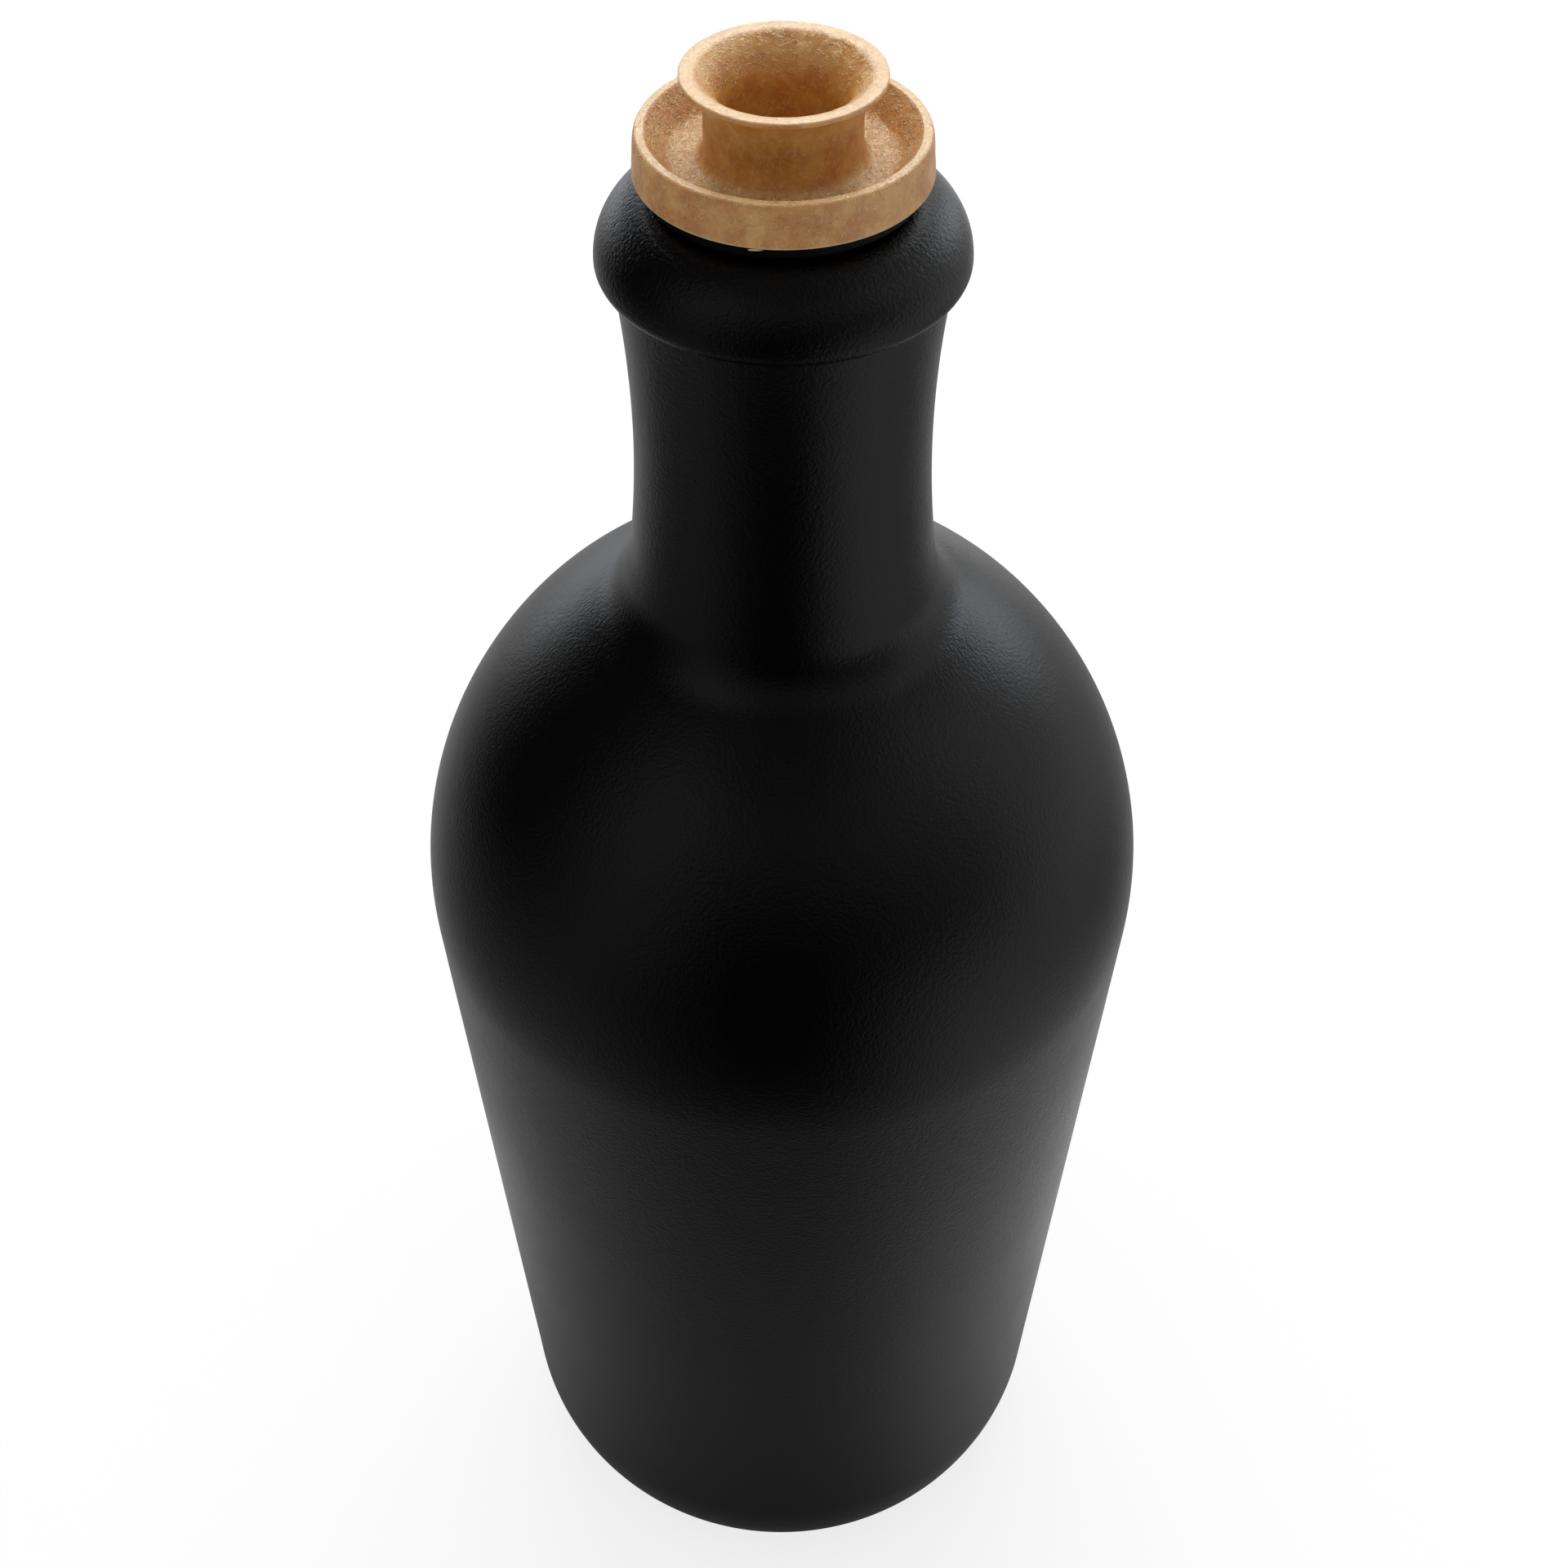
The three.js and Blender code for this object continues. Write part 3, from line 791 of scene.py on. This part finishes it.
# White paper. To the camera it is whitened, and fully so far from the bottle, so that the shadow
# stays and no horizon shows
FLOOR_RADIUS = 2.4
FLOOR_SIDES = 96
floor_mesh = bmesh.new()
bmesh.ops.create_circle(floor_mesh, cap_ends=True, radius=FLOOR_RADIUS, segments=FLOOR_SIDES)
floor_material, floor_tree = new_material("white_paper_floor")
FLOOR_WHITENING = 0.8
FADE_START = 0.35
FADE_END = 0.9
floor_paths = add(floor_tree, "ShaderNodeLightPath")
floor_spot = add(floor_tree, "ShaderNodeTexCoord")
floor_distance = add(floor_tree, "ShaderNodeVectorMath", {
    0: floor_spot.outputs["Object"]}, operation="LENGTH")
floor_whitening = add(floor_tree, "ShaderNodeMapRange", {
    "Value": floor_distance.outputs["Value"], "From Min": FADE_START, "From Max": FADE_END,
    "To Min": FLOOR_WHITENING, "To Max": 1.0})
floor_share = add(floor_tree, "ShaderNodeMath", {
    0: floor_paths.outputs["Is Camera Ray"], 1: floor_whitening.outputs["Result"]},
    operation="MULTIPLY")
floor_paper = add(floor_tree, "ShaderNodeBsdfDiffuse", {"Color": linear("#FAFAFA")})
floor_white = add(floor_tree, "ShaderNodeEmission", {"Color": linear("#FFFFFF"), "Strength": 1.0})
floor_shader = add(floor_tree, "ShaderNodeMixShader", {
    0: floor_share.outputs[0], 1: floor_paper.outputs["BSDF"], 2: floor_white.outputs["Emission"]})
add(floor_tree, "ShaderNodeOutputMaterial", {"Surface": floor_shader.outputs["Shader"]})
floor = finish_mesh("paper_floor", floor_mesh, floor_material)

# World

# White where it is seen or mirrored, and a plain soft fill on the object, which is weaker from
# the camera's side than from behind and strongest from overhead
world = bpy.data.worlds.new("studio")
bpy.context.scene.world = world
world.use_nodes = True
world_tree = world.node_tree
world_tree.nodes.clear()
FRONT_FILL = 0.32
BACK_FILL = 0.5
TOP_FILL = 1.0
paths = add(world_tree, "ShaderNodeLightPath")
seen = add(world_tree, "ShaderNodeMath", {
    0: paths.outputs["Is Camera Ray"], 1: paths.outputs["Is Glossy Ray"]}, operation="MAXIMUM")
shown = add(world_tree, "ShaderNodeMath", {
    0: seen.outputs[0], 1: paths.outputs["Is Transmission Ray"]}, operation="MAXIMUM")
aim = add(world_tree, "ShaderNodeTexCoord")
across = add(world_tree, "ShaderNodeSeparateXYZ", {"Vector": aim.outputs["Generated"]})
fill = add(world_tree, "ShaderNodeMapRange", {
    "Value": across.outputs["Y"], "From Min": -0.7, "From Max": 0.7,
    "To Min": FRONT_FILL, "To Max": BACK_FILL})
above = add(world_tree, "ShaderNodeMapRange", {
    "Value": across.outputs["Z"], "From Min": 0.75, "From Max": 0.95,
    "To Min": 0.0, "To Max": TOP_FILL})
soft = add(world_tree, "ShaderNodeMath", {
    0: fill.outputs["Result"], 1: above.outputs["Result"]}, operation="ADD")
strength = add(world_tree, "ShaderNodeMix", {
    MIX_SHARE: shown.outputs[0], FIRST_NUMBER: soft.outputs[0], SECOND_NUMBER: 1.0},
    data_type="FLOAT")
background = add(world_tree, "ShaderNodeBackground", {
    "Color": linear("#FFFFFF"), "Strength": strength.outputs[0]})
add(world_tree, "ShaderNodeOutputWorld", {"Surface": background.outputs["Background"]})


# Studio

# A place round the bottle is an azimuth, 0 towards the camera and 90 towards +X, and an elevation
# above the floor, seen from the middle of the bottle
STUDIO_CENTRE = Vector((0, 0, 0.14))


def place_at(azimuth, elevation, distance):
    """Point of the studio at that azimuth and elevation, in degrees, and distance, in metres."""
    a, e = math.radians(azimuth), math.radians(elevation)
    aim = Vector((math.sin(a) * math.cos(e), -math.cos(a) * math.cos(e), math.sin(e)))
    return STUDIO_CENTRE + aim * distance


def softbox(name, azimuth, elevation, distance, width, height, radiance, colour):
    """Area lamp that faces the bottle. Radiance 1 would look white."""
    data = bpy.data.lights.new(name, "AREA")
    data.shape = "RECTANGLE"
    data.size = width
    data.size_y = height
    data.energy = radiance * math.pi * width * height
    data.color = linear(colour)[:3]
    lamp = bpy.data.objects.new(name, data)
    lamp.location = place_at(azimuth, elevation, distance)
    lamp.rotation_euler = (STUDIO_CENTRE - lamp.location).to_track_quat("-Z", "Y").to_euler()
    lamp.visible_camera = False
    bpy.context.scene.collection.objects.link(lamp)


def between(stops, value):
    """Straight-line reading of a short list of (place, level) stops."""
    for (start, low), (end, high) in zip(stops, stops[1:]):
        if value <= end:
            return low + (high - low) * max(0.0, (value - start) / (end - start))
    return stops[-1][1]


def painted_reflection_card(name, rows):
    """Card that glows with a smoothly changing grey and that only gloss sees: a painted reflection,
    so it casts no shadow and never shows. Rows hold the (place, grey) of its points."""
    bm = bmesh.new()
    greys = [grey for row in rows for _, grey in row]
    grid = [[bm.verts.new(place) for place, _ in row] for row in rows]
    for low, high in zip(grid, grid[1:]):
        for i in range(len(low) - 1):
            bm.faces.new([low[i], low[i + 1], high[i + 1], high[i]])
    material, tree = new_material(name)
    level = add(tree, "ShaderNodeAttribute", attribute_name="grey")
    glow = add(tree, "ShaderNodeEmission", {
        "Color": linear("#FFFFFF"), "Strength": level.outputs["Fac"]})
    add(tree, "ShaderNodeOutputMaterial", {"Surface": glow.outputs["Emission"]})
    card = finish_mesh(name, bm, material)
    attribute = card.data.attributes.new("grey", "FLOAT", "POINT")
    for item, grey in zip(attribute.data, greys):
        item.value = grey
    card.visible_camera = False
    card.visible_diffuse = False
    card.visible_shadow = False
    card.visible_transmission = False


softbox("back_softbox", azimuth=178, elevation=50, distance=0.9, width=0.8, height=0.5,
        radiance=4.1, colour="#FFFFFF")
softbox("right_softbox", azimuth=136, elevation=15, distance=0.8, width=0.32, height=0.3,
        radiance=2.4, colour="#E8F1FF")
softbox("left_softbox", azimuth=-150, elevation=7, distance=0.8, width=0.35, height=0.4,
        radiance=1.15, colour="#E8F1FF")

# Dark cloth round the front and left, as used to keep reflections off black glaze, drawn as a
# glowing card whose greys are its painted reflection: nearly black ahead, with a dim strip at the
# front left, and open to the white studio at the back right
CARD_DISTANCE = 1.0
CARD_ELEVATIONS = range(-12, 89, 4)
CLOTH_AZIMUTHS = range(-164, 93, 4)
SCREEN_AZIMUTHS = range(92, 161, 4)
CLOTH_LEVELS = [(-114, 0.02), (-90, 0.02), (-70, 0.15), (-50, 0.36), (-30, 0.15), (-14, 0.0),
                (14, 0.0), (30, 0.1), (50, 0.2), (70, 0.36), (92, 0.9)]
CLOTH_LIFT = [(0, 0.0), (12, 0.03), (22, 0.12), (40, 0.24), (54, 0.1), (68, -0.04)]
CLOTH_LIFT_SHARE = [(-80, 0.0), (-55, 1.0)]
CLOTH_TOP = [(48, 0.0), (72, 1.0)]
BACK_LEFT_SHARE = [(-134, 1.0), (-122, 0.0)]
BACK_LEFT_LEVELS = [(-12, 0.55), (0, 0.85), (8, 0.7), (18, 0.2), (28, 0.03), (44, 0.02)]
OVERHEAD_GREY = 0.12
SCREEN_LEVELS = [(0, 0.72), (14, 0.75), (30, 0.92), (44, 0.3)]


def cloth_grey(azimuth, elevation):
    """Grey of the cloth in a direction, its light painted in. Its front is painted as lit from
    above, its left side isn't, and its end at the back left is painted as lit low down by the lamp
    there."""
    lift = between(CLOTH_LIFT, elevation) * between(CLOTH_LIFT_SHARE, azimuth)
    top = between(CLOTH_TOP, elevation)
    back = between(BACK_LEFT_SHARE, azimuth)
    side = (between(CLOTH_LEVELS, azimuth) + lift) * (1 - top) + OVERHEAD_GREY * top
    return side * (1 - back) + between(BACK_LEFT_LEVELS, elevation) * back


painted_reflection_card("dark_cloth", [
    [(place_at(azimuth, elevation, CARD_DISTANCE), max(0.0, cloth_grey(azimuth, elevation)))
     for azimuth in CLOTH_AZIMUTHS] for elevation in CARD_ELEVATIONS])
painted_reflection_card("dim_screen_back_right", [
    [(place_at(azimuth, elevation, CARD_DISTANCE), between(SCREEN_LEVELS, elevation))
     for azimuth in SCREEN_AZIMUTHS] for elevation in CARD_ELEVATIONS])

# The floor as gloss sees it, painted on a glowing card: painted shade close to the bottle, dark in
# front and bright at the right
FLOOR_NEAR = [(-180, 0.4), (-140, 0.4), (-110, 0.4), (-80, 0.32), (-55, 0.27), (-30, 0.21),
              (0, 0.19), (15, 0.21), (30, 0.27), (50, 0.4), (75, 0.48), (108, 0.53), (140, 0.46),
              (180, 0.4)]
FLOOR_FAR = [(-180, 0.4), (-140, 0.44), (-110, 0.19), (-90, 0.17), (-60, 0.26), (-15, 0.03),
             (15, 0.03), (50, 0.66), (75, 0.54), (110, 0.2), (140, 0.34), (180, 0.4)]
FLOOR_EDGE = [(-180, 0.6), (-145, 0.45), (-115, 0.06), (-90, 0.06), (-60, 0.22), (-15, 0.0),
              (15, 0.0), (50, 0.7), (75, 0.75), (110, 0.7), (135, 0.35), (150, 0.5), (165, 0.95),
              (180, 0.6)]
# Scales the floor card's grey with distance from the axis: a painted shadow close to the bottle
FLOOR_CONTACT = [(0.035, 0.42), (0.05, 0.8), (0.06, 1.1), (0.07, 1.25), (0.08, 1.22), (0.1, 1.0),
                 (0.13, 0.86), (0.19, 1.0)]
FLOOR_SPREAD = [(0.11, 0.0), (0.19, 1.0)]
FLOOR_HORIZON = [(0.3, 0.0), (0.5, 1.0)]
FLOOR_RINGS = [
    0.0, 0.035, 0.05, 0.06, 0.07, 0.08, 0.1, 0.11, 0.13, 0.15, 0.17, 0.19, 0.3, 0.5, 2.0]
FLOOR_AZIMUTHS = range(-180, 181, 5)
FLOOR_CARD_HEIGHT = 0.3


def floor_grey(azimuth, radius):
    """Grey of the floor at a direction and a distance from the bottle's axis, in metres."""
    far = between(FLOOR_SPREAD, radius)
    horizon = between(FLOOR_HORIZON, radius)
    level = between(FLOOR_NEAR, azimuth) * (1 - far) + between(FLOOR_FAR, azimuth) * far
    level = level * (1 - horizon) + between(FLOOR_EDGE, azimuth) * horizon
    return level * between(FLOOR_CONTACT, radius)


def floor_place(azimuth, radius):
    """Point just above the floor at a direction and a distance from the bottle's axis."""
    turn = math.radians(azimuth)
    return (radius * math.sin(turn), -radius * math.cos(turn), FLOOR_CARD_HEIGHT * MM)


painted_reflection_card("shaded_floor", [
    [(floor_place(azimuth, radius), floor_grey(azimuth, radius)) for azimuth in FLOOR_AZIMUTHS]
    for radius in FLOOR_RINGS])
